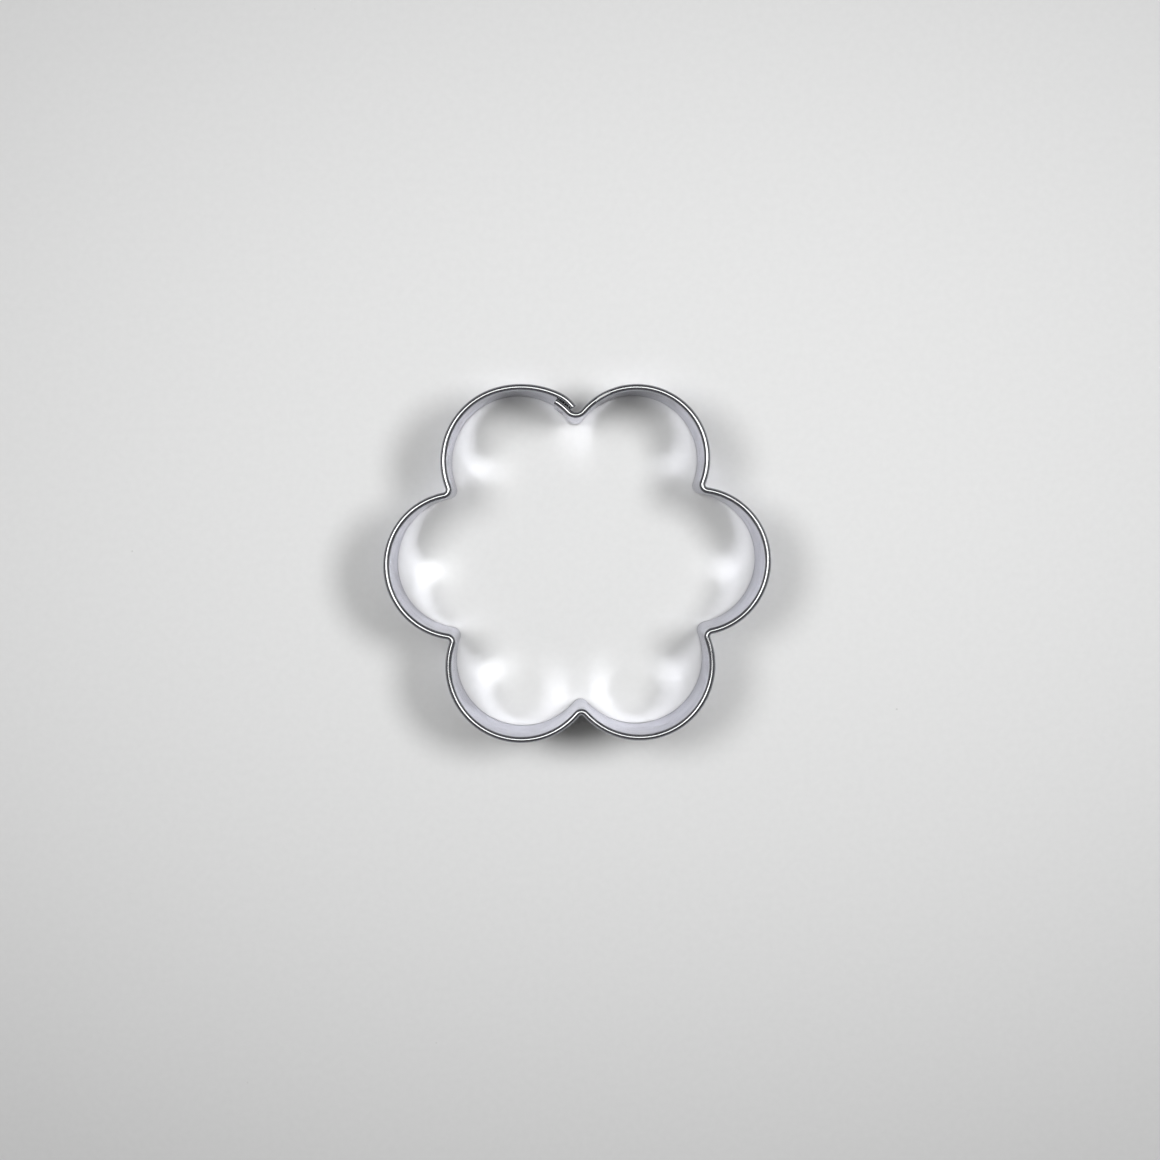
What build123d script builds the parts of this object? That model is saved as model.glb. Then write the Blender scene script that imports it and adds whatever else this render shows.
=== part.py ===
from build123d import *
import os
from collections import namedtuple
from math import atan2, cos, degrees, radians, sin, sqrt

# Flower cookie cutter: one strip of bright sheet metal bent to six petals, its rim folded over outwards,
# its two ends lapped in one valley and spot welded there. It stands on its cutting edge, at z = 0.

# The flower, measured to the inner face of the strip
petal_count = 6
petal_reach = 18.4  # from the middle of the flower to a petal's centre
petal_radius = 10.6
valley_radius = 1.4  # bend between two petals

# Bent by hand round a former, so no two petals are quite alike; anticlockwise from the one on the X axis
petal_reach_shares = (0.996, 1.015, 1.004, 1.015, 0.999, 0.999)
petal_radius_shares = (0.997, 0.982, 1.024, 0.998, 1.018, 1.018)

# The strip
cutter_height = 20.0
sheet = 0.3
edge_break = 0.06  # burr taken off the raw cutting edge

# The hem, a fold of the strip that leans back in to its own wall
hem_width = 1.0
hem_depth = 2.0
hem_tip_gap = 0.03
outer_fold_flats = 8  # the round of the fold is drawn in flats
inner_fold_flats = 2

# The lapped ends: the inner one runs on inside the last petal, the outer one stands off round its hem
lap_length = 2.5
lap_gap = 0.02
hem_lap_gap = 0.03  # between the two hems, side by side
lap_contact_height = 13.8  # up to here the two ends lie against each other
stand_off_margin = 0.2  # the outer end is fully out this far below the hem
stand_off_turn = 48.0  # angle of the last petal over which the outer end moves out
seam_valley_radius = 2.1  # at the hem, where the lap keeps the fold from closing as far

# The spot welds, each in a round hole through both ends
weld_radius = 0.75
weld_heights = {"upper_spot_weld": 10.2, "lower_spot_weld": 4.2}
weld_recess = 0.04  # the electrode leaves the weld a little below the sheet
weld_dish_depth = 0.05

# A bend seen from above: its radius is the inner face's, its bulge 1 on a petal and -1 in a valley
Bend = namedtuple("Bend", "centre radius start turn bulge")


def toward(angle):
    return Vector(cos(radians(angle)), sin(radians(angle)))


def bearing(start, end):
    return degrees(atan2(end.Y - start.Y, end.X - start.X))


def valley_centre(first, first_distance, second, second_distance):
    """The point outside the flower this far from two petals' centres, the second clockwise of the first."""
    span = (second - first).length
    along = (span**2 + first_distance**2 - second_distance**2) / (2 * span)
    ahead = (second - first) / span
    left = Vector(-ahead.Y, ahead.X)
    return first + ahead * along + left * sqrt(first_distance**2 - along**2)


def petal_bend(centre, radius, start, end):
    return Bend(centre, radius, start, -((start - end) % 360), 1)


def valley_bend(centre, radius, start, end):
    return Bend(centre, radius, start, (end - start) % 360, -1)


# Petals in the order in which the strip passes them, clockwise from the lap
petal_step = 360 / petal_count
petal_order = [(1 - passed) % petal_count for passed in range(petal_count)]
centres = [toward(petal_step * p) * petal_reach * petal_reach_shares[p] for p in petal_order]
radii = [petal_radius * petal_radius_shares[p] for p in petal_order]
last_centre = centres[-1]
last_radius = radii[-1]
tail_radius = last_radius - sheet - lap_gap


def seam_valley(bend_radius):
    return valley_centre(last_centre, tail_radius + bend_radius, centres[0], radii[0] + bend_radius)


# The outer end stops where the inner one turns into the valley, and the inner one runs back from there
outer_end_angle = bearing(last_centre, seam_valley(seam_valley_radius))
tip_angle = outer_end_angle + degrees(lap_length / tail_radius)
lap_angle = (outer_end_angle + tip_angle) / 2
stand_off_angle = tip_angle + stand_off_turn


def outer_end_bends(standing_off):
    """The last petal's outer end: on the petal's own circle, or out round the inner end's hem."""
    if not standing_off:
        onto_lap = petal_bend(last_centre, last_radius, stand_off_angle, tip_angle)
        return [onto_lap, petal_bend(last_centre, last_radius, tip_angle, outer_end_angle)]
    far_radius = last_radius + hem_width - sheet - lap_gap + hem_lap_gap
    chord_drop = last_radius - far_radius * cos(radians(stand_off_turn))
    widening = (far_radius**2 - last_radius**2) / (2 * chord_drop)
    wide_centre = last_centre - toward(stand_off_angle) * widening
    lap_start = last_centre + toward(tip_angle) * far_radius
    heading = bearing(wide_centre, lap_start)
    lap_radius = far_radius * sin(radians(tip_angle - lap_angle)) / sin(radians(heading - lap_angle))
    lap_centre = lap_start - toward(heading) * lap_radius
    onto_lap = petal_bend(wide_centre, last_radius + widening, stand_off_angle, heading)
    return [onto_lap, petal_bend(lap_centre, lap_radius, heading, 2 * lap_angle - heading)]


def strip_bends(seam_radius, standing_off):
    """Every bend of the strip, from the tip of its inner end clockwise round the flower to its outer end."""
    seam = seam_valley(seam_radius)
    bends = [petal_bend(last_centre, tail_radius, tip_angle, bearing(last_centre, seam))]
    bends.append(valley_bend(seam, seam_radius, bearing(seam, last_centre), bearing(seam, centres[0])))
    before = seam
    for here in range(petal_count - 1):
        centre, radius = centres[here], radii[here]
        following, following_radius = centres[here + 1], radii[here + 1]
        valley = valley_centre(centre, radius + valley_radius, following, following_radius + valley_radius)
        bends.append(petal_bend(centre, radius, bearing(centre, before), bearing(centre, valley)))
        bends.append(valley_bend(valley, valley_radius, bearing(valley, centre), bearing(valley, following)))
        before = valley
    bends.append(petal_bend(last_centre, last_radius, bearing(last_centre, before), stand_off_angle))
    return bends + outer_end_bends(standing_off)


def trace(bends, out):
    """Lines the bends at this distance outside the inner face."""
    for bend in bends:
        CenterArc(bend.centre, bend.radius + bend.bulge * out, bend.start, bend.turn)


def place(bend, angle, out):
    return bend.centre + toward(angle) * (bend.radius + bend.bulge * out)


def strip_outline(bends, inside, outside):
    """The strip's section in plan, between two distances outside its inner face."""
    first, last = bends[0], bends[-1]
    last_angle = last.start + last.turn
    with BuildLine() as outline:
        trace(bends, inside)
        trace(bends, outside)
        Line(place(first, first.start, inside), place(first, first.start, outside))
        Line(place(last, last_angle, inside), place(last, last_angle, outside))
    make_face(outline.edges())


foot_bends = strip_bends(valley_radius, False)
rim_bends = strip_bends(seam_valley_radius, True)
rim_foot = cutter_height - hem_depth - stand_off_margin

# The stretches of the strip that change shape between the foot and the rim: the inner end with its valley
# and the petal that it runs into, then the two bends of the outer end. The rest stands straight up.
moving_stretches = (slice(0, 3), slice(-2, -1), slice(-1, None))
still_stretch = slice(3, -2)

# The hem's section, measured out from the strip's inner face: up the wall, over the fold and down the
# return leg, which leans in until it just clears the wall
fold_radius = hem_width / 2
fold_centre = Vector(fold_radius, cutter_height - fold_radius)
leg_foot = cutter_height - hem_depth
leg_inset = sheet + hem_tip_gap


def fold_round(radius, flats):
    return [fold_centre + toward(180 - 180 * passed / flats) * radius for passed in range(flats + 1)]


hem_section = [Vector(0, rim_foot)]
hem_section += fold_round(fold_radius, outer_fold_flats)
hem_section.append(Vector(leg_inset + sheet, leg_foot))
hem_section.append(Vector(leg_inset, leg_foot))
hem_section += reversed(fold_round(fold_radius - sheet, inner_fold_flats))
hem_section.append(Vector(sheet, rim_foot))

# The welds stand across both ends of the strip, in the middle of the lap: each is a round slug, dished at
# its two ends by the electrodes
weld_axis = toward(lap_angle)
lap_thickness = last_radius + sheet - tail_radius
weld_foot = last_centre + weld_axis * tail_radius
weld_end = lap_thickness - weld_recess

with BuildPart() as band:
    # The raw cutting edge, with its burr taken off
    with BuildSketch(Plane.XY):
        strip_outline(foot_bends, edge_break, sheet - edge_break)
    with BuildSketch(Plane.XY.offset(edge_break)):
        strip_outline(foot_bends, 0, sheet)
    loft(ruled=True)
    # The wall, as high as the two ends lie against each other
    with BuildSketch(Plane.XY.offset(edge_break)):
        strip_outline(foot_bends, 0, sheet)
    extrude(amount=lap_contact_height - edge_break)
    # From there to the rim the outer end moves out to clear the hem of the inner one
    with BuildSketch(Plane.XY.offset(lap_contact_height)):
        strip_outline(foot_bends[still_stretch], 0, sheet)
    extrude(amount=rim_foot - lap_contact_height)
    for stretch in moving_stretches:
        with BuildSketch(Plane.XY.offset(lap_contact_height)):
            strip_outline(foot_bends[stretch], 0, sheet)
        with BuildSketch(Plane.XY.offset(rim_foot)):
            strip_outline(rim_bends[stretch], 0, sheet)
        loft(ruled=True)
    # The rim, folded over outwards into the hem, from one end of the strip to the other
    with BuildLine(Plane.XY.offset(rim_foot)) as rim_path:
        trace(rim_bends, 0)
    tip = place(rim_bends[0], tip_angle, 0)
    with BuildSketch(Plane(tip, x_dir=toward(tip_angle), z_dir=toward(tip_angle - 90))):
        with BuildLine():
            Polyline(*hem_section, close=True)
        make_face()
    sweep(path=rim_path.wire())
    # Where the welds have melted through both ends
    for height in weld_heights.values():
        with BuildSketch(Plane(weld_foot + Vector(0, 0, height), z_dir=weld_axis)):
            Circle(weld_radius)
        extrude(amount=lap_thickness, both=True, mode=Mode.SUBTRACT)

band.part.label = "band"
pieces = [band]

for weld_name, height in weld_heights.items():
    weld_origin = weld_foot + Vector(0, 0, height)
    with BuildPart() as weld:
        with BuildSketch(Plane(weld_origin, x_dir=weld_axis, z_dir=toward(lap_angle - 90))):
            near_dish = (weld_recess + weld_dish_depth, 0)
            far_dish = (weld_end - weld_dish_depth, 0)
            with BuildLine():
                near_arc = TangentArc(near_dish, (weld_recess, weld_radius), tangent=(0, 1))
                far_arc = TangentArc(far_dish, (weld_end, weld_radius), tangent=(0, 1))
                Line(near_dish, far_dish)
                Line(near_arc @ 1, far_arc @ 1)
            make_face()
        revolve(axis=Axis(weld_origin, weld_axis))
    weld.part.label = weld_name
    pieces.append(weld)

os.makedirs("parts", exist_ok=True)
for piece in pieces:
    print(piece.part.label, piece.part.volume, piece.part.is_valid, len(piece.part.solids()))
    export_step(piece.part, f"parts/{piece.part.label}.step")
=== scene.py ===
from math import atan2, ceil, cos, degrees, pi, radians, sin, sqrt

import bpy
from mathutils import Matrix, Vector


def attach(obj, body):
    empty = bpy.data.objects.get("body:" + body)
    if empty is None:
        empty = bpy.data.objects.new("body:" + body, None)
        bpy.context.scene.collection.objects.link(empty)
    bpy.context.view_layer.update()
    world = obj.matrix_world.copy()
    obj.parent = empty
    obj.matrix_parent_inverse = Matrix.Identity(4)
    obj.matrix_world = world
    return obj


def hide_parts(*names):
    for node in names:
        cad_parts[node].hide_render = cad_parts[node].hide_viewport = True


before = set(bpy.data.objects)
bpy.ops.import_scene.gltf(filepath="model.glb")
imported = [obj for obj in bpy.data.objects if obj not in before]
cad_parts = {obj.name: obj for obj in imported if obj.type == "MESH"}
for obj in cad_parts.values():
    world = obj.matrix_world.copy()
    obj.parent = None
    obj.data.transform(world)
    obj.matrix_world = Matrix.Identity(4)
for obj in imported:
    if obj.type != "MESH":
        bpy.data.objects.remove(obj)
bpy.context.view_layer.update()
print("frame loaded")

hair = 0.00001  # two points closer than this are at one place
hairTurn = 0.05  # the same for two angles, in degrees


def toward(angle):
    return Vector((cos(radians(angle)), sin(radians(angle)), 0))


def bearing(start, end):
    return degrees(atan2(end.y - start.y, end.x - start.x))


def deselectAll():
    if bpy.context.object and bpy.context.object.mode != "OBJECT":
        bpy.ops.object.mode_set(mode="OBJECT")
    bpy.ops.object.select_all(action="DESELECT")


def pick(piece):
    deselectAll()
    piece.select_set(True)
    bpy.context.view_layer.objects.active = piece


def startEditing(piece, parts="VERT"):
    pick(piece)
    bpy.ops.object.mode_set(mode="EDIT")
    bpy.ops.mesh.select_mode(type=parts)
    bpy.ops.mesh.select_all(action="DESELECT")


# selects what passes the test, from inside edit mode
def selectPoints(piece, test):
    bpy.ops.mesh.select_all(action="DESELECT")
    bpy.ops.object.mode_set(mode="OBJECT")
    for vertex in piece.data.vertices:
        vertex.select = test(vertex.co)
    bpy.ops.object.mode_set(mode="EDIT")


def selectFaces(piece, test):
    bpy.ops.mesh.select_all(action="DESELECT")
    bpy.ops.object.mode_set(mode="OBJECT")
    for face in piece.data.polygons:
        face.select = test(face)
    bpy.ops.object.mode_set(mode="EDIT")


def applyModifier(piece, kind, name, **settings):
    modifier = piece.modifiers.new(name, kind)
    for key, value in settings.items():
        setattr(modifier, key, value)
    bpy.context.view_layer.objects.active = piece
    bpy.ops.object.modifier_apply(modifier=name)


def placeInMesh(piece):
    pick(piece)
    bpy.ops.object.transform_apply(location=True, rotation=True, scale=True)


edgeFinish = {
    "segments": 2,
    "sharpAngle": 50,  # edges that turn by more than this are rounded
}


def roundEdges(piece, width):
    applyModifier(piece, "BEVEL", "edges", width=width, segments=edgeFinish["segments"],
                  limit_method="ANGLE", angle_limit=radians(edgeFinish["sharpAngle"]))


def smooth(piece, angle):
    pick(piece)
    bpy.ops.object.shade_smooth_by_angle(angle=radians(angle))


# The strip: the same bends as the frame's band, in metres
bandShape = {
    "petalCount": 6,
    "petalReach": 0.0184,  # from the middle of the flower to a petal's centre
    "petalRadius": 0.0106,
    "valleyRadius": 0.0014,
    "reachShares": (0.996, 1.015, 1.004, 1.015, 0.999, 0.999),  # anticlockwise, from the one on the X axis
    "radiusShares": (0.997, 0.982, 1.024, 0.998, 1.018, 1.018),
    "height": 0.020,
    "sheet": 0.0003,
    "hemWidth": 0.001,
    "hemDepth": 0.002,
    "hemTipGap": 0.00003,
    "lapLength": 0.0025,
    "lapGap": 0.00002,
    "hemLapGap": 0.00003,
    "lapContactHeight": 0.0138,  # the two ends lie against each other up to here
    "standOffMargin": 0.0002,
    "standOffTurn": 48.0,
    "seamValleyRadius": 0.0021,
    "bendStep": 3.0,  # degrees of bend to a row of faces
    "wallRows": 10,
    "foldPoints": 36,  # all round the fold's circle, of which half are kept
    "legRows": 3,
    "bridgeRows": 3,
    "edgeRound": 0.00005,
    "footRound": 0.00012,  # of the cutting edge
    "footSegments": 4,
    "smoothAngle": 32,
}


def valleyCentre(first, firstDistance, second, secondDistance):
    span = (second - first).length
    along = (span**2 + firstDistance**2 - secondDistance**2) / (2 * span)
    ahead = (second - first) / span
    left = Vector((-ahead.y, ahead.x, 0))
    return first + ahead * along + left * sqrt(firstDistance**2 - along**2)


# a bend is its centre, inner-face radius, start angle and turn; petals turn clockwise, valleys back
def petalBend(centre, radius, start, end):
    return centre, radius, start, -((start - end) % 360)


def valleyBend(centre, radius, start, end):
    return centre, radius, start, (end - start) % 360


# petals in the order in which the strip passes them, clockwise from the lap
def layOut(shape):
    count = shape["petalCount"]
    order = [(1 - passed) % count for passed in range(count)]
    reach = shape["petalReach"]
    centres = [toward(360 / count * p) * reach * shape["reachShares"][p] for p in order]
    radii = [shape["petalRadius"] * shape["radiusShares"][p] for p in order]
    return centres, radii


centres, radii = layOut(bandShape)
lastCentre, lastRadius = centres[-1], radii[-1]
tailRadius = lastRadius - bandShape["sheet"] - bandShape["lapGap"]


def seamValley(bendRadius):
    return valleyCentre(lastCentre, tailRadius + bendRadius, centres[0], radii[0] + bendRadius)


outerEndAngle = bearing(lastCentre, seamValley(bandShape["seamValleyRadius"]))
tipAngle = outerEndAngle + degrees(bandShape["lapLength"] / tailRadius)
lapAngle = (outerEndAngle + tipAngle) / 2
standOffAngle = tipAngle + bandShape["standOffTurn"]


# the outer end keeps to the petal's circle at the foot, and stands off round the other hem at the rim
def outerEndBends(standingOff):
    if not standingOff:
        return [petalBend(lastCentre, lastRadius, standOffAngle, tipAngle),
                petalBend(lastCentre, lastRadius, tipAngle, outerEndAngle)]
    farRadius = tailRadius + bandShape["hemWidth"] + bandShape["hemLapGap"]
    chordDrop = lastRadius - farRadius * cos(radians(bandShape["standOffTurn"]))
    widening = (farRadius**2 - lastRadius**2) / (2 * chordDrop)
    wideCentre = lastCentre - toward(standOffAngle) * widening
    lapStart = lastCentre + toward(tipAngle) * farRadius
    heading = bearing(wideCentre, lapStart)
    lapRadius = farRadius * sin(radians(tipAngle - lapAngle)) / sin(radians(heading - lapAngle))
    lapCentre = lapStart - toward(heading) * lapRadius
    return [petalBend(wideCentre, lastRadius + widening, standOffAngle, heading),
            petalBend(lapCentre, lapRadius, heading, 2 * lapAngle - heading)]


# every bend, from the tip of the inner end clockwise round the flower to the outer end
def stripBends(seamRadius, standingOff):
    seam = seamValley(seamRadius)
    valleyRadius = bandShape["valleyRadius"]
    bends = [petalBend(lastCentre, tailRadius, tipAngle, bearing(lastCentre, seam)),
             valleyBend(seam, seamRadius, bearing(seam, lastCentre), bearing(seam, centres[0]))]
    before = seam
    for here in range(len(centres) - 1):
        centre, radius = centres[here], radii[here]
        after, afterRadius = centres[here + 1], radii[here + 1]
        valley = valleyCentre(centre, radius + valleyRadius, after, afterRadius + valleyRadius)
        bends.append(petalBend(centre, radius, bearing(centre, before), bearing(centre, valley)))
        bends.append(valleyBend(valley, valleyRadius, bearing(valley, centre), bearing(valley, after)))
        before = valley
    bends.append(petalBend(lastCentre, lastRadius, bearing(lastCentre, before), standOffAngle))
    return bends + outerEndBends(standingOff)


footBends = stripBends(bandShape["valleyRadius"], False)
rimBends = stripBends(bandShape["seamValleyRadius"], True)
rimFoot = bandShape["height"] - bandShape["hemDepth"] - bandShape["standOffMargin"]
foldRadius = bandShape["hemWidth"] / 2
foldHeight = bandShape["height"] - foldRadius
tipOut = toward(tipAngle)
tip = lastCentre + tipOut * tailRadius


# spins the selected section round each bend in turn; both strips take the same number of steps to a bend
def spinAlong(bends, otherBends):
    for (centre, radius, start, turn), (*_, otherTurn) in zip(bends, otherBends):
        steps = ceil(max(abs(turn), abs(otherTurn)) / bandShape["bendStep"])
        bpy.ops.mesh.spin(steps=steps, angle=-radians(turn), center=centre, axis=(0, 0, 1),
                          use_auto_merge=False)


# where a point lies on the strip rolled out flat: how far along it, and how far out from its inner face
def rollOut(point, bends, reach):
    run = 0
    for centre, radius, start, turn in bends:
        spoke = Vector((point.x, point.y, 0)) - centre
        turned = (bearing(centre, point) - start) * (1 if turn > 0 else -1) % 360
        if turned > 360 - 2 * hairTurn:
            turned = 0
        out = (spoke.length - radius) * (1 if turn < 0 else -1)
        if turned < abs(turn) + hairTurn and -hair < out < reach + hair:
            return run + radius * radians(turned), out
        run += radius * radians(abs(turn))
    return run, 0


# up the wall, round the fold and down the return leg
def acrossStrip(height, out):
    if height > foldHeight:
        return foldHeight + foldRadius * atan2(height - foldHeight, foldRadius - out)
    return height if out < foldRadius else foldHeight + foldRadius * pi + foldHeight - height


# keeps the rolled-out place of every vertex while the strip is still in two parts
def markRolledOut(strip, bends, reach):
    along, across = [], []
    for vertex in strip.data.vertices:
        run, out = rollOut(vertex.co, bends, reach)
        along.append(run)
        across.append(acrossStrip(vertex.co.z, out))
    for name, values in (("along", along), ("across", across)):
        attribute = strip.data.attributes.new(name, "FLOAT", "POINT")
        attribute.data.foreach_set("value", values)


def makeLowerStrip():
    deselectAll()
    height = bandShape["lapContactHeight"]
    bpy.ops.mesh.primitive_grid_add(x_subdivisions=1, y_subdivisions=bandShape["wallRows"], size=height,
                                    location=tip + Vector((0, 0, height / 2)),
                                    rotation=(pi / 2, 0, radians(tipAngle)))
    lower = bpy.context.object
    lower.name = "lowerStrip"
    placeInMesh(lower)
    startEditing(lower)
    # one upright edge of the grid is put on the strip's tip, the rest of the grid goes
    selectPoints(lower, lambda co: (co - tip).dot(tipOut) > 0)
    bpy.ops.mesh.delete(type="VERT")
    bpy.ops.mesh.select_all(action="SELECT")
    bpy.ops.transform.translate(value=tipOut * height / 2)
    spinAlong(footBends, rimBends)
    bpy.ops.object.mode_set(mode="OBJECT")
    markRolledOut(lower, footBends, 0)
    return lower


def makeUpperStrip():
    deselectAll()
    foldCentre = tip + tipOut * foldRadius + Vector((0, 0, foldHeight))
    bpy.ops.mesh.primitive_circle_add(vertices=bandShape["foldPoints"], radius=foldRadius,
                                      location=foldCentre, rotation=(pi / 2, 0, radians(tipAngle)))
    upper = bpy.context.object
    upper.name = "upperStrip"
    placeInMesh(upper)
    startEditing(upper)
    rows = bandShape["legRows"]
    selectPoints(upper, lambda co: co.z < foldHeight - hair)
    bpy.ops.mesh.delete(type="VERT")
    # the inner end of the round goes down the wall
    selectPoints(upper, lambda co: co.z < foldHeight + hair and (co - foldCentre).dot(tipOut) < 0)
    wallRun = Vector((0, 0, rimFoot - foldHeight))
    for row in range(rows):
        bpy.ops.mesh.extrude_region_move(TRANSFORM_OT_translate={"value": wallRun / rows})
    # the outer end goes down the return leg, which leans in to the wall
    selectPoints(upper, lambda co: co.z < foldHeight + hair and (co - foldCentre).dot(tipOut) > 0)
    legFoot = tip + tipOut * (bandShape["sheet"] * 2 + bandShape["hemTipGap"])
    legFoot.z = bandShape["height"] - bandShape["hemDepth"]
    legRun = legFoot - (foldCentre + tipOut * foldRadius)
    for row in range(rows):
        bpy.ops.mesh.extrude_region_move(TRANSFORM_OT_translate={"value": legRun / rows})
    bpy.ops.mesh.select_all(action="SELECT")
    spinAlong(rimBends, footBends)
    bpy.ops.object.mode_set(mode="OBJECT")
    markRolledOut(upper, rimBends, bandShape["hemWidth"])
    return upper


# the two parts are joined by a bridge, over which the outer end moves out to clear the inner one's hem
def makeBand():
    lower, upper = makeLowerStrip(), makeUpperStrip()
    pick(upper)
    lower.select_set(True)
    bpy.ops.object.join()
    band = bpy.context.object
    band.name = "rolled_band"
    band.data.name = "rolled_band"
    contact = bandShape["lapContactHeight"]
    startEditing(band)
    selectPoints(band, lambda co: abs(co.z - contact) < hair or abs(co.z - rimFoot) < hair)
    bpy.ops.mesh.bridge_edge_loops(type="PAIRS", number_cuts=bandShape["bridgeRows"],
                                   interpolation="LINEAR")
    bpy.ops.mesh.select_all(action="SELECT")
    bpy.ops.mesh.remove_doubles(threshold=hair / 10)
    bpy.ops.mesh.normals_make_consistent(inside=False)
    bpy.ops.object.mode_set(mode="OBJECT")
    return band


# the rolled-out places become the band's UV map, in metres, which its rolling lines follow
def writeRolledOutMap(band):
    mesh = band.data
    while mesh.uv_layers:
        mesh.uv_layers.remove(mesh.uv_layers[0])
    along, across = [[value.value for value in mesh.attributes[name].data] for name in ("along", "across")]
    layer = mesh.uv_layers.new(name="rolledOut")
    for loop in mesh.loops:
        layer.data[loop.index].uv = along[loop.vertex_index], across[loop.vertex_index]
    for name in ("along", "across"):
        mesh.attributes.remove(mesh.attributes[name])


# The spot welds: round slugs through both ends in the middle of the lap, dished at both ends
weldShape = {
    "heights": {"upper_spot_weld": 0.0102, "lower_spot_weld": 0.0042},
    "radius": 0.00075,
    "recess": 0.00004,
    "dishDepth": 0.00005,
    "dishRings": 6,
    "edgeRound": 0.00002,
    "sides": 64,
    "smoothAngle": 40,
    "endFacing": 0.9,  # a face that looks this much along the axis belongs to an end
    "punchLength": 0.003,  # of the tool that cuts its hole
}

lapThickness = lastRadius + bandShape["sheet"] - tailRadius
lapOut = toward(lapAngle)
weldMiddle = lastCentre + lapOut * (tailRadius + lapThickness / 2)


# a cylinder that lies across the lap, where a weld is
def addAcrossLap(height, length):
    deselectAll()
    bpy.ops.mesh.primitive_cylinder_add(vertices=weldShape["sides"], radius=weldShape["radius"],
                                        depth=length, location=weldMiddle + Vector((0, 0, height)),
                                        rotation=(0, pi / 2, radians(lapAngle)))
    return bpy.context.object


# the sheet's thickness, its rounded edges and the two places where the welds have melted through
def finishBand(band):
    applyModifier(band, "SOLIDIFY", "sheet", thickness=bandShape["sheet"], offset=-1, use_even_offset=True,
                  use_quality_normals=True)
    # the cutting edge is rounded further than the others
    startEditing(band)
    selectPoints(band, lambda co: co.z < hair)
    bpy.ops.mesh.select_mode(type="EDGE")
    bpy.ops.mesh.region_to_loop()
    bpy.ops.mesh.bevel(offset=bandShape["footRound"], segments=bandShape["footSegments"])
    bpy.ops.object.mode_set(mode="OBJECT")
    roundEdges(band, bandShape["edgeRound"])
    writeRolledOutMap(band)
    for height in weldShape["heights"].values():
        punch = addAcrossLap(height, weldShape["punchLength"])
        applyModifier(band, "BOOLEAN", "hole", operation="DIFFERENCE", object=punch, solver="EXACT")
        bpy.data.objects.remove(punch, do_unlink=True)
    smooth(band, bandShape["smoothAngle"])


# one slug: a cylinder whose two ends are inset in rings, each ring a little deeper, to a shallow round dish
def makeWeld(name, height):
    weld = addAcrossLap(height, lapThickness - 2 * weldShape["recess"])
    weld.name = name
    weld.data.name = name
    placeInMesh(weld)
    startEditing(weld, "FACE")
    selectFaces(weld, lambda face: abs(face.normal.dot(lapOut)) > weldShape["endFacing"])
    rings, dish = weldShape["dishRings"], weldShape["dishDepth"]
    step = 1 / (rings + 1)
    for ring in range(rings):
        wide, narrow = 1 - ring * step, 1 - (ring + 1) * step
        bpy.ops.mesh.inset(thickness=weldShape["radius"] * step, depth=-dish * (wide**2 - narrow**2),
                           use_individual=True, use_even_offset=False)
    bpy.ops.mesh.poke(offset=-dish * step**2)
    bpy.ops.object.mode_set(mode="OBJECT")
    roundEdges(weld, weldShape["edgeRound"])
    smooth(weld, weldShape["smoothAngle"])
    return weld


band = makeBand()
finishBand(band)
print("band", len(band.data.vertices), len(band.data.polygons))
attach(band, "root")
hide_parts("band")

welds = []
for nodeName, height in weldShape["heights"].items():
    weld = makeWeld(nodeName.replace("_spot_weld", "_weld_slug"), height)
    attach(weld, "root")
    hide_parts(nodeName)
    welds.append(weld)
print("welds", len(welds))

# camera, as in the photograph: straight above, a little to the top, hardly tilted
view = {
    "place": (-0.00267, 0.00942, 0.392),
    "target": (0.00019, -0.00255, 0.020),
    "roll": 1.1,
    "lens": 74.67,
    "sensor": 36,
}


def addCamera():
    deselectAll()
    bpy.ops.object.camera_add(location=view["place"])
    camera = bpy.context.object
    camera.name = "camera"
    camera.data.lens = view["lens"]
    camera.data.sensor_width = view["sensor"]
    ahead = (Vector(view["target"]) - Vector(view["place"])).normalized()
    up = Vector((sin(radians(view["roll"])), cos(radians(view["roll"])), 0))
    right = ahead.cross(up).normalized()
    up = right.cross(ahead)
    camera.rotation_euler = Matrix((right, up, -ahead)).transposed().to_euler()
    bpy.context.scene.camera = camera


addCamera()
print("camera")


def grey(shade):
    return shade, shade, shade, 1


# gives each of a node's inputs a plain value, or another node's output to link to
def feed(tree, sockets, values):
    for key, value in values.items():
        if isinstance(value, bpy.types.NodeSocket):
            tree.links.new(value, sockets[key])
        else:
            sockets[key].default_value = value


def addNode(tree, kind, inputs=None, **settings):
    node = tree.nodes.new(kind)
    for key, value in settings.items():
        setattr(node, key, value)
    feed(tree, node.inputs, inputs or {})
    return node


def calc(tree, operation, first, second=None, clamp=False):
    inputs = {0: first} if second is None else {0: first, 1: second}
    return addNode(tree, "ShaderNodeMath", inputs, operation=operation, use_clamp=clamp).outputs[0]


def lengthOf(tree, vector):
    return addNode(tree, "ShaderNodeVectorMath", {0: vector}, operation="LENGTH").outputs["Value"]


def objectPlace(tree):
    return addNode(tree, "ShaderNodeTexCoord").outputs["Object"]


noiseMiddle = 0.5  # the value that a noise swings about


def noise(tree, place, scale, detail, roughness=0.5, distortion=0.0):
    return addNode(tree, "ShaderNodeTexNoise", {"Vector": place, "Scale": scale, "Detail": detail,
                                                "Roughness": roughness,
                                                "Distortion": distortion}).outputs[0]


# 0 at the near end of the range and 1 at the far one, or the other way round when it falls
def share(tree, value, near, far, falling=False, curve="LINEAR"):
    ends = (1.0, 0.0) if falling else (0.0, 1.0)
    return addNode(tree, "ShaderNodeMapRange", {"Value": value, "From Min": near, "From Max": far,
                                                "To Min": ends[0], "To Max": ends[1]},
                   interpolation_type=curve).outputs[0]


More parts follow.
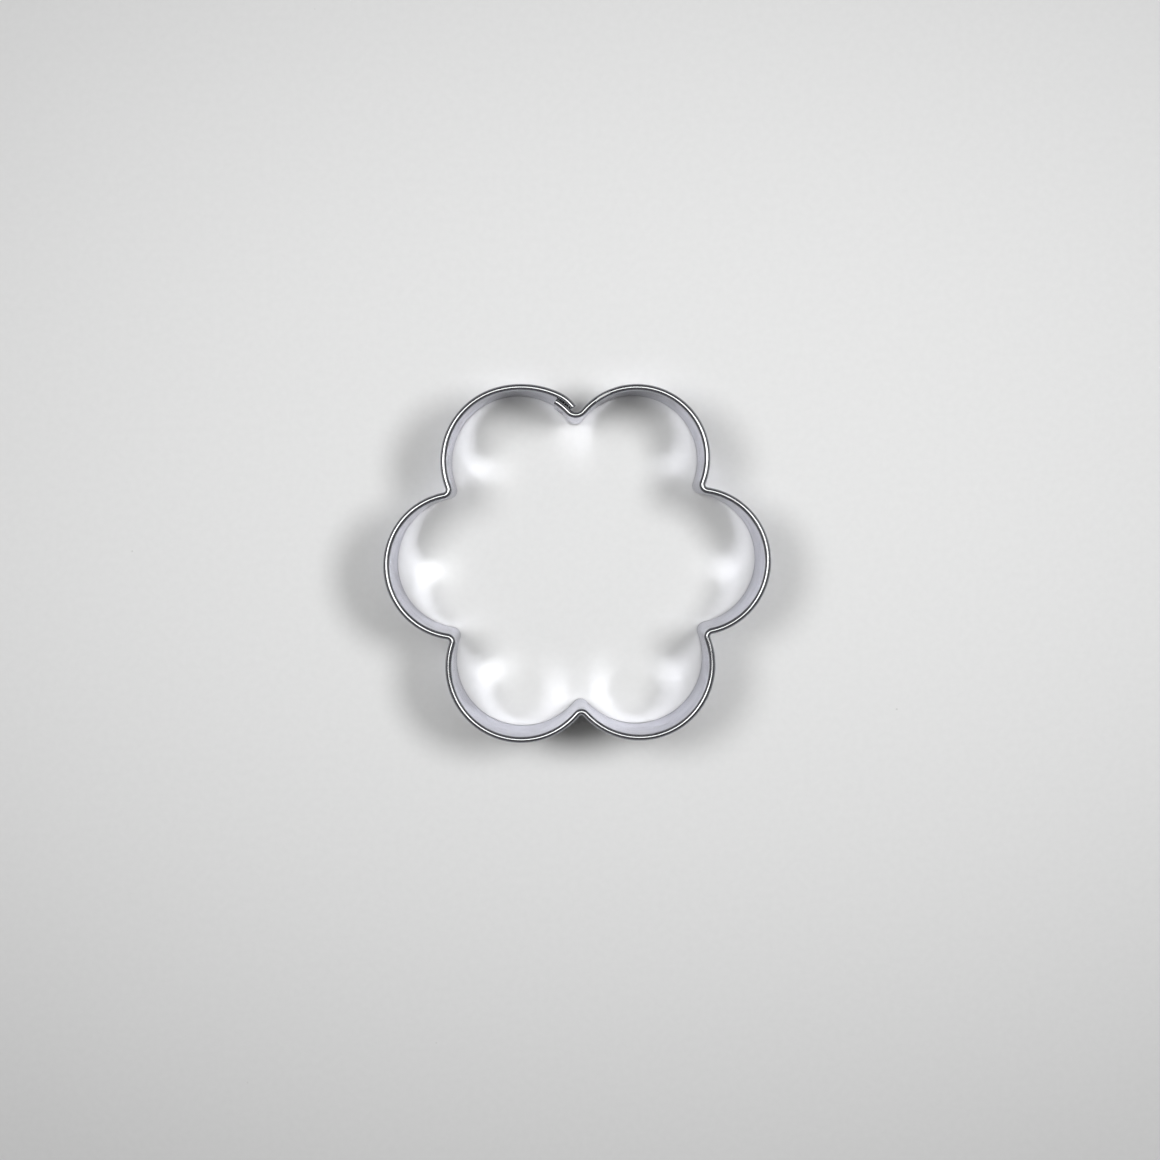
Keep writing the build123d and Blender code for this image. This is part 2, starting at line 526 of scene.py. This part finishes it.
def ramp(tree, value, stops):
    node = addNode(tree, "ShaderNodeValToRGB", {"Fac": value})
    elements = node.color_ramp.elements
    while len(elements) < len(stops):
        elements.new(1)
    for element, (position, color) in zip(elements, stops):
        element.position = position
        element.color = color
    return node.outputs["Color"]


def mixColor(tree, amount, first, second, blend="MIX"):
    return addNode(tree, "ShaderNodeMix", {0: amount, 6: first, 7: second}, data_type="RGBA",
                   blend_type=blend).outputs[2]


def bumpFrom(tree, look, relief):
    return addNode(tree, "ShaderNodeBump", {"Strength": look["bump"], "Distance": look["bumpDistance"],
                                            "Height": relief}).outputs[0]


def useGroup(tree, group, inputs):
    return addNode(tree, "ShaderNodeGroup", inputs, node_tree=group).outputs


def newGroup(name, inputs, outputs):
    group = bpy.data.node_groups.new(name, "ShaderNodeTree")
    for socketName, kind, value in inputs:
        socket = group.interface.new_socket(socketName, in_out="INPUT", socket_type="NodeSocket" + kind)
        if value is not None:
            socket.default_value = value
    for socketName, kind in outputs:
        group.interface.new_socket(socketName, in_out="OUTPUT", socket_type="NodeSocket" + kind)
    return group, group.nodes.new("NodeGroupInput").outputs, group.nodes.new("NodeGroupOutput").inputs


def newMaterial(name):
    material = bpy.data.materials.new(name)
    material.use_nodes = True
    return material, material.node_tree, material.node_tree.nodes["Principled BSDF"].inputs


# Fine lines left by the rolls that the sheet came from
linesLook = {
    "detail": 3.0,
    "roughness": 0.6,
    "bandStretch": (0.3, 0.12, 1),  # of the wide bands, in shares of the lines'
    "bandDetail": 2.0,
}


def makeRollingLines():
    look = linesLook
    group, given, out = newGroup("rollingLines",
                                 [("Vector", "Vector", None), ("Stretch", "Vector", None),
                                  ("Contrast", "Float", 1.0)],
                                 [("Lines", "Float"), ("Bands", "Float")])
    fine = addNode(group, "ShaderNodeMapping", {"Vector": given["Vector"],
                                                "Scale": given["Stretch"]}).outputs[0]
    wide = addNode(group, "ShaderNodeVectorMath", {0: fine, 1: look["bandStretch"]},
                   operation="MULTIPLY").outputs[0]
    lines = noise(group, fine, 1.0, look["detail"], look["roughness"])
    bands = noise(group, wide, 1.0, look["bandDetail"])
    for pattern, name in ((lines, "Lines"), (bands, "Bands")):
        centred = calc(group, "SUBTRACT", pattern, noiseMiddle)
        feed(group, out, {name: calc(group, "MULTIPLY", centred, given["Contrast"])})
    return group


# What hands and a drawer leave on bright metal: dull smudges and a few hairline scratches
handlingLook = {
    "smudgeSize": 0.006,
    "smudgeDetail": 5.0,
    "smudgeRoughness": 0.55,
    "smudgeSwirl": 0.4,
    "smudgeRange": (0.48, 0.72),  # of the noise, from clean metal to a full smudge
    "scratchRuns": ((0.35, 3.0), (-0.22, 11.0)),  # how each run is turned, and how far its pattern is moved
    "scratchStretch": (22, 22, 2000),
    "scratchDetail": 1.0,
    "scratchLevel": 0.62,  # a scratch lies where the noise has this value
    "scratchWidth": 0.004,
    "patchScale": 260.0,  # scratches come in patches
    "patchDetail": 1.0,
    "patchLevel": 0.56,
}


def makeHandling():
    look = handlingLook
    group, given, out = newGroup("handling",
                                 [("Vector", "Vector", None), ("Smudge Size", "Float", look["smudgeSize"]),
                                  ("Scratches", "Float", 1.0)],
                                 [("Smudges", "Float"), ("Scratch Mask", "Float")])
    often = calc(group, "DIVIDE", 1.0, given["Smudge Size"])
    cloud = noise(group, given["Vector"], often, look["smudgeDetail"], look["smudgeRoughness"],
                  look["smudgeSwirl"])
    masks = []
    for turn, drift in look["scratchRuns"]:
        slanted = addNode(group, "ShaderNodeMapping", {"Vector": given["Vector"],
                                                       "Rotation": (turn, turn / 2, turn),
                                                       "Location": (drift, drift, 0),
                                                       "Scale": look["scratchStretch"]}).outputs[0]
        streaks = noise(group, slanted, 1.0, look["scratchDetail"])
        offLevel = calc(group, "SUBTRACT", streaks, look["scratchLevel"])
        masks.append(calc(group, "LESS_THAN", calc(group, "ABSOLUTE", offLevel), look["scratchWidth"]))
    patches = noise(group, given["Vector"], look["patchScale"], look["patchDetail"])
    patches = calc(group, "GREATER_THAN", patches, look["patchLevel"])
    scratches = calc(group, "MULTIPLY", calc(group, "MAXIMUM", *masks), patches)
    feed(group, out, {"Smudges": share(group, cloud, *look["smudgeRange"]),
                      "Scratch Mask": calc(group, "MULTIPLY", scratches, given["Scratches"])})
    return group


# The ring of straw and blue that a spot weld's heat leaves
tintLook = {
    "core": 0.00075,  # the weld's own radius, from which the ring spreads
    "spread": 0.0012,
    "wobbleScale": 900.0,
    "wobbleDetail": 2.0,
    "wobble": 0.0006,
    "colors": [(0.0, (0.30, 0.27, 0.27, 1)), (0.14, (0.36, 0.40, 0.58, 1)), (0.34, (0.66, 0.50, 0.36, 1)),
               (0.62, (0.80, 0.72, 0.56, 1)), (1.0, (0.80, 0.80, 0.85, 1))],
    "strength": [(0.0, grey(0.75)), (0.5, grey(0.45)), (1.0, grey(0))],
    "squash": (3, 1, 1),  # it reaches through the sheet with little loss
}


def makeHeatTint():
    look = tintLook
    group, given, out = newGroup("heatTint",
                                 [("Vector", "Vector", None), ("Core", "Float", look["core"]),
                                  ("Spread", "Float", look["spread"])],
                                 [("Color", "Color"), ("Mask", "Float")])
    wobble = noise(group, given["Vector"], look["wobbleScale"], look["wobbleDetail"])
    uneven = calc(group, "MULTIPLY", calc(group, "SUBTRACT", wobble, noiseMiddle), look["wobble"])
    reach = calc(group, "ADD", lengthOf(group, given["Vector"]), uneven)
    past = calc(group, "DIVIDE", calc(group, "SUBTRACT", reach, given["Core"]), given["Spread"])
    feed(group, out, {"Color": ramp(group, past, look["colors"]),
                      "Mask": ramp(group, past, look["strength"])})
    return group


rollingLines, handling, heatTint = makeRollingLines(), makeHandling(), makeHeatTint()


# where the heat tint's Vector comes from: the place on the band, centred on one weld and turned to its axis
def weldPlace(tree, height):
    return addNode(tree, "ShaderNodeMapping", {"Vector": objectPlace(tree),
                                               "Location": weldMiddle + Vector((0, 0, height)),
                                               "Rotation": (0, 0, radians(lapAngle)),
                                               "Scale": tintLook["squash"]},
                   vector_type="TEXTURE").outputs[0]


sheetLook = {
    "color": (0.40, 0.403, 0.41, 1),
    "dullColor": (0.34, 0.345, 0.35, 1),
    "bandDullness": 1.2,  # how much the rolled bands change the colour
    "edgeTint": (0.90, 0.90, 0.985, 1),  # of what it mirrors at a slant
    "roughness": 0.13,
    "lineRoughness": 0.06,  # how much the rolling lines vary it
    "smudgeRoughness": 0.07,
    "scratchRoughness": 0.15,
    # painted contact shade along the foot, where the wall stands on the table: a darker colour and a darker
    # specular tint
    "footShadeColor": (0.20, 0.19, 0.22, 1),
    "footShadeTint": (0.28, 0.26, 0.36, 1),
    "cutRoughness": 0.12,
    "footShadeWidth": 0.0010,  # how far up from the cutting edge the painted contact shade reaches; the band is also rougher
    "stretch": (90, 7000, 1),  # how often the rolling lines change along and across the sheet
    "scratchDepth": 0.4,
    "bump": 0.06,
    "bumpDistance": 0.00002,
}


def makeSheetMetal():
    material, tree, shader = newMaterial("brightSheet")
    look = sheetLook
    rolledOut = addNode(tree, "ShaderNodeUVMap", uv_map="rolledOut").outputs[0]
    lines = useGroup(tree, rollingLines, {"Vector": rolledOut, "Stretch": look["stretch"]})
    marks = useGroup(tree, handling, {"Vector": objectPlace(tree)})
    across = addNode(tree, "ShaderNodeSeparateXYZ", {0: rolledOut}).outputs["Y"]
    # the band up from the cutting edge: painted contact shade, and a rougher finish
    footShadeBand = share(tree, across, 0.0, look["footShadeWidth"], falling=True, curve="SMOOTHSTEP")
    dull = calc(tree, "ADD", marks["Smudges"], calc(tree, "MULTIPLY", lines["Bands"], look["bandDullness"]),
                clamp=True)
    color = mixColor(tree, dull, look["color"], look["dullColor"])
    for height in weldShape["heights"].values():
        tint = useGroup(tree, heatTint, {"Vector": weldPlace(tree, height)})
        color = mixColor(tree, tint["Mask"], color, tint["Color"])
    rough = look["roughness"]
    for mask, amount in ((lines["Lines"], "lineRoughness"), (marks["Smudges"], "smudgeRoughness"),
                         (marks["Scratch Mask"], "scratchRoughness"), (footShadeBand, "cutRoughness")):
        rough = calc(tree, "ADD", rough, calc(tree, "MULTIPLY", mask, look[amount]))
    relief = calc(tree, "SUBTRACT", lines["Lines"],
                  calc(tree, "MULTIPLY", marks["Scratch Mask"], look["scratchDepth"]))
    # the foot band's darker colour and darker specular tint are painted shade
    feed(tree, shader, {"Base Color": mixColor(tree, footShadeBand, color, look["footShadeColor"]), "Metallic": 1,
                        "Specular Tint": mixColor(tree, footShadeBand, look["edgeTint"], look["footShadeTint"]),
                        "Roughness": rough, "Normal": bumpFrom(tree, look, relief)})
    return material


weldLook = {
    "color": (0.70, 0.69, 0.70, 1),
    "pitColor": (0.42, 0.41, 0.42, 1),
    "roughness": 0.28,
    "smudgeRoughness": 0.12,
    "smudgeSize": 0.0006,
    "tintCore": 0.00045,
    "tintSpread": 0.0007,
    "pitScale": 14000.0,
    "pitDetail": 3.0,
    "pitRange": (0.58, 0.72),  # of the noise, from smooth metal to a full pit
    "ringSpacing": 0.00011,  # of the turning marks that the electrode's tip pressed in
    "ringDepth": 0.2,
    "bump": 0.35,
    "bumpDistance": 0.00002,
}


def makeWeldMetal(name, height):
    material, tree, shader = newMaterial(name)
    look = weldLook
    place = weldPlace(tree, height)
    marks = useGroup(tree, handling, {"Vector": place, "Smudge Size": look["smudgeSize"],
                                      "Scratches": 0.0})
    tint = useGroup(tree, heatTint, {"Vector": place, "Core": look["tintCore"],
                                     "Spread": look["tintSpread"]})
    pits = share(tree, noise(tree, place, look["pitScale"], look["pitDetail"]), *look["pitRange"])
    color = mixColor(tree, tint["Mask"], look["color"], tint["Color"])
    rough = calc(tree, "ADD", look["roughness"],
                 calc(tree, "MULTIPLY", marks["Smudges"], look["smudgeRoughness"]))
    rings = calc(tree, "SINE", calc(tree, "MULTIPLY", lengthOf(tree, place), 2 * pi / look["ringSpacing"]))
    relief = calc(tree, "SUBTRACT", calc(tree, "MULTIPLY", rings, look["ringDepth"]), pits)
    feed(tree, shader, {"Base Color": mixColor(tree, pits, color, look["pitColor"]), "Metallic": 1,
                        "Roughness": rough, "Normal": bumpFrom(tree, look, relief)})
    return material


band.data.materials.append(makeSheetMetal())
for weld, (nodeName, height) in zip(welds, weldShape["heights"].items()):
    weld.data.materials.append(makeWeldMetal(nodeName.replace("_spot_weld", "WeldMetal"), height))
print("metals")

# the room: a weak light for the table, a paler wall for the camera and for what the metal mirrors to it
room = {
    "light": (0.042, 0.042, 0.040, 1),
    "horizon": (0.36, 0.355, 0.40, 1),
    "overhead": (0.10, 0.10, 0.105, 1),
    "backdrop": grey(0.70),
    "wallHeight": 0.7,  # where the horizon's shade has faded into the one overhead
}

floorShape = {
    "size": 4.0,
    "color": (0.807, 0.81, 0.81, 1),
    # a painted pool of the lamps' light: the table's colour is paler round its middle and darker away from
    # it
    "paintedFalloffColor": grey(0.60),
    "paintedLightMiddle": (0.030, 0.0145, 0),
    "paintedFalloff": (0.266, 0.144, 1),  # how far across and up the painted fall-off of the lamps' light reaches the darker colour
    "grainSize": 0.0011,
    "grainDetail": 4.0,
    "grainShades": [(0.3, grey(0.975)), (0.7, grey(1))],
    "roughness": 0.7,
    "bump": 0.1,
    "bumpDistance": 0.00002,
    "speckSpacing": 0.012,
    "speckSize": 0.018,  # of a crumb of dust, in shares of the spacing
    "speckColor": (0.55, 0.55, 0.54, 1),
    "lampLight": (0.125, 0.21),  # past the first the room's shade takes over, and past the second it has
}


# the rays that the camera sends out, and those that metal mirrors straight from it
def firstHandRays(tree):
    path = addNode(tree, "ShaderNodeLightPath").outputs
    firstHand = calc(tree, "LESS_THAN", path["Diffuse Depth"], 0.5)  # no matt surface on the way
    return path["Is Camera Ray"], calc(tree, "MULTIPLY", path["Is Glossy Ray"], firstHand)


def addFloor():
    deselectAll()
    bpy.ops.mesh.primitive_plane_add(size=floorShape["size"])
    floor = bpy.context.object
    floor.name = "floor"
    material, tree, shader = newMaterial("tabletop")
    look = floorShape
    place = objectPlace(tree)
    # painted light: the table's colour fades in an oval from its own to a darker grey, as the lamps' light
    # falls off
    paintedFalloffPlace = addNode(tree, "ShaderNodeMapping", {"Vector": place, "Location": look["paintedLightMiddle"],
                                               "Scale": look["paintedFalloff"]}, vector_type="TEXTURE").outputs[0]
    paintedFalloff = addNode(tree, "ShaderNodeVectorMath", {0: paintedFalloffPlace, 1: paintedFalloffPlace}, operation="DOT_PRODUCT")
    color = mixColor(tree, paintedFalloff.outputs["Value"], look["color"], look["paintedFalloffColor"])
    grain = noise(tree, place, 1 / look["grainSize"], look["grainDetail"])
    color = mixColor(tree, 1.0, color, ramp(tree, grain, look["grainShades"]), blend="MULTIPLY")
    dust = addNode(tree, "ShaderNodeTexVoronoi", {"Vector": place, "Scale": 1 / look["speckSpacing"]})
    specks = share(tree, dust.outputs["Distance"], 0.0, look["speckSize"], falling=True)
    feed(tree, shader, {"Base Color": mixColor(tree, specks, color, look["speckColor"]),
                        "Roughness": look["roughness"], "Normal": bumpFrom(tree, look, grain)})
    past = share(tree, lengthOf(tree, place), *look["lampLight"], curve="SMOOTHSTEP")
    seen = calc(tree, "MAXIMUM", *firstHandRays(tree))
    roomShade = addNode(tree, "ShaderNodeEmission", {"Color": room["backdrop"]}).outputs[0]
    blend = addNode(tree, "ShaderNodeMixShader", {0: calc(tree, "MULTIPLY", past, seen),
                                                  1: tree.nodes["Principled BSDF"].outputs[0],
                                                  2: roomShade})
    feed(tree, tree.nodes["Material Output"].inputs, {"Surface": blend.outputs[0]})
    floor.data.materials.append(material)


addFloor()
print("table")

# soft lamps over the table, side by side and a little to the top of the picture, aimed at its middle
lamps = {
    "rightLamp": {"place": (0.160, 0.045, 0.400), "size": (0.13, 0.11), "power": 0.80},
    "leftLamp": {"place": (-0.130, 0.050, 0.400), "size": (0.13, 0.13), "power": 0.605},
    "middleLamp": {"place": (-0.012, 0.030, 0.400), "size": (0.26, 0.15), "power": 0.385},
}


def addLamp(name, lamp):
    deselectAll()
    bpy.ops.object.light_add(type="AREA", location=lamp["place"])
    light = bpy.context.object
    light.name = name
    light.data.shape = "ELLIPSE"
    light.data.size, light.data.size_y = lamp["size"]
    light.data.energy = lamp["power"]
    light.rotation_euler = Vector(lamp["place"]).to_track_quat("Z", "Y").to_euler()


for lampName, lamp in lamps.items():
    addLamp(lampName, lamp)
print("lamps", len(lamps))


def addRoom():
    world = bpy.data.worlds.new("studio")
    bpy.context.scene.world = world
    world.use_nodes = True
    tree = world.node_tree
    direction = addNode(tree, "ShaderNodeTexCoord").outputs["Generated"]
    height = addNode(tree, "ShaderNodeSeparateXYZ", {0: direction}).outputs["Z"]
    mirrored = ramp(tree, height, [(0.0, room["horizon"]), (room["wallHeight"], room["overhead"])])
    straight, inMetal = firstHandRays(tree)
    color = mixColor(tree, inMetal, room["light"], mirrored)
    color = mixColor(tree, straight, color, room["backdrop"])
    feed(tree, tree.nodes["Background"].inputs, {"Color": color})


addRoom()
print("room")

bpy.context.scene.view_settings.view_transform = "Standard"
# the sheet throws its reflections on the table unblurred and at their own strength
bpy.context.scene.cycles.blur_glossy = 0
bpy.context.scene.cycles.sample_clamp_indirect = 0
bpy.context.scene.cycles.sample_clamp_direct = 1.4  # the bead's bright line stays short of white
